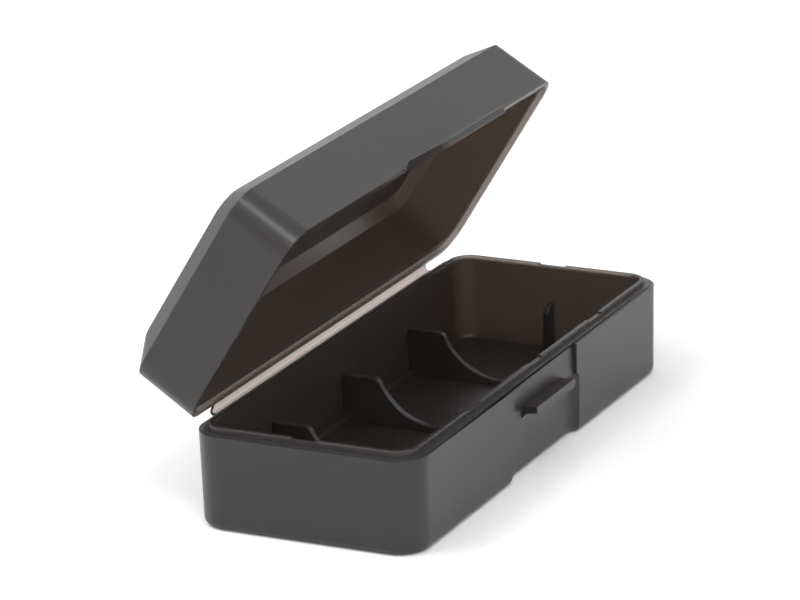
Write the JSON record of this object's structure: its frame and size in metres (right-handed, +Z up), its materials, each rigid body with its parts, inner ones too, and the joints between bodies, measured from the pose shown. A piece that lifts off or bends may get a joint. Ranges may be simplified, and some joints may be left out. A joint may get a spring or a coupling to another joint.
{
  "type": "battery case",
  "caption": "Small hinged-lid case in smoke-tinted translucent plastic for a cylindrical cell, with cradle ribs, a film-hinged lid and a windowed latch flap.",
  "frame": {"origin": "centre of the tray's flat underside", "axes": "+Z up; +X along the case; -Y the side with the latch, +Y the side with the film hinge; the lid and the latch are at the angles they rest at in the picture"},
  "size_m": [0.0822, 0.0429, 0.0465],
  "materials": {
    "smoke_plastic": "smoke-tinted translucent polypropylene, fine matte texture outside, glossy inside",
    "film_plastic": "the same smoke-tinted polypropylene, so thin that it looks pale"
  },
  "bodies": {
    "base": {"base_tray": "smoke_plastic", "cradle_rib_near": "smoke_plastic", "cradle_rib_middle": "smoke_plastic", "cradle_rib_far": "smoke_plastic", "end_stop_near": "smoke_plastic", "end_stop_far": "smoke_plastic", "catch_ledge": "smoke_plastic", "base_hinge_leaf": "film_plastic"},
    "lid": {"lid_shell": "smoke_plastic", "lid_bead_near": "smoke_plastic", "lid_bead_far": "smoke_plastic", "lid_hinge_leaf": "film_plastic", "latch_web": "film_plastic"},
    "latch": {"latch_flap": "smoke_plastic"}
  },
  "joints": [
    {"name": "lid_hinge", "type": "hinge", "parent": "base", "child": "lid", "pos_m": [0, 0.01714, 0.0133], "axis": [-1, 0, 0], "range_deg": [-57.8, 122.2]},
    {"name": "latch_hinge", "type": "hinge", "parent": "lid", "child": "latch", "pos_m": [0, -0.00092, 0.0418], "axis": [-1, 0, 0], "range_deg": [-64.6, 65]}
  ]
}
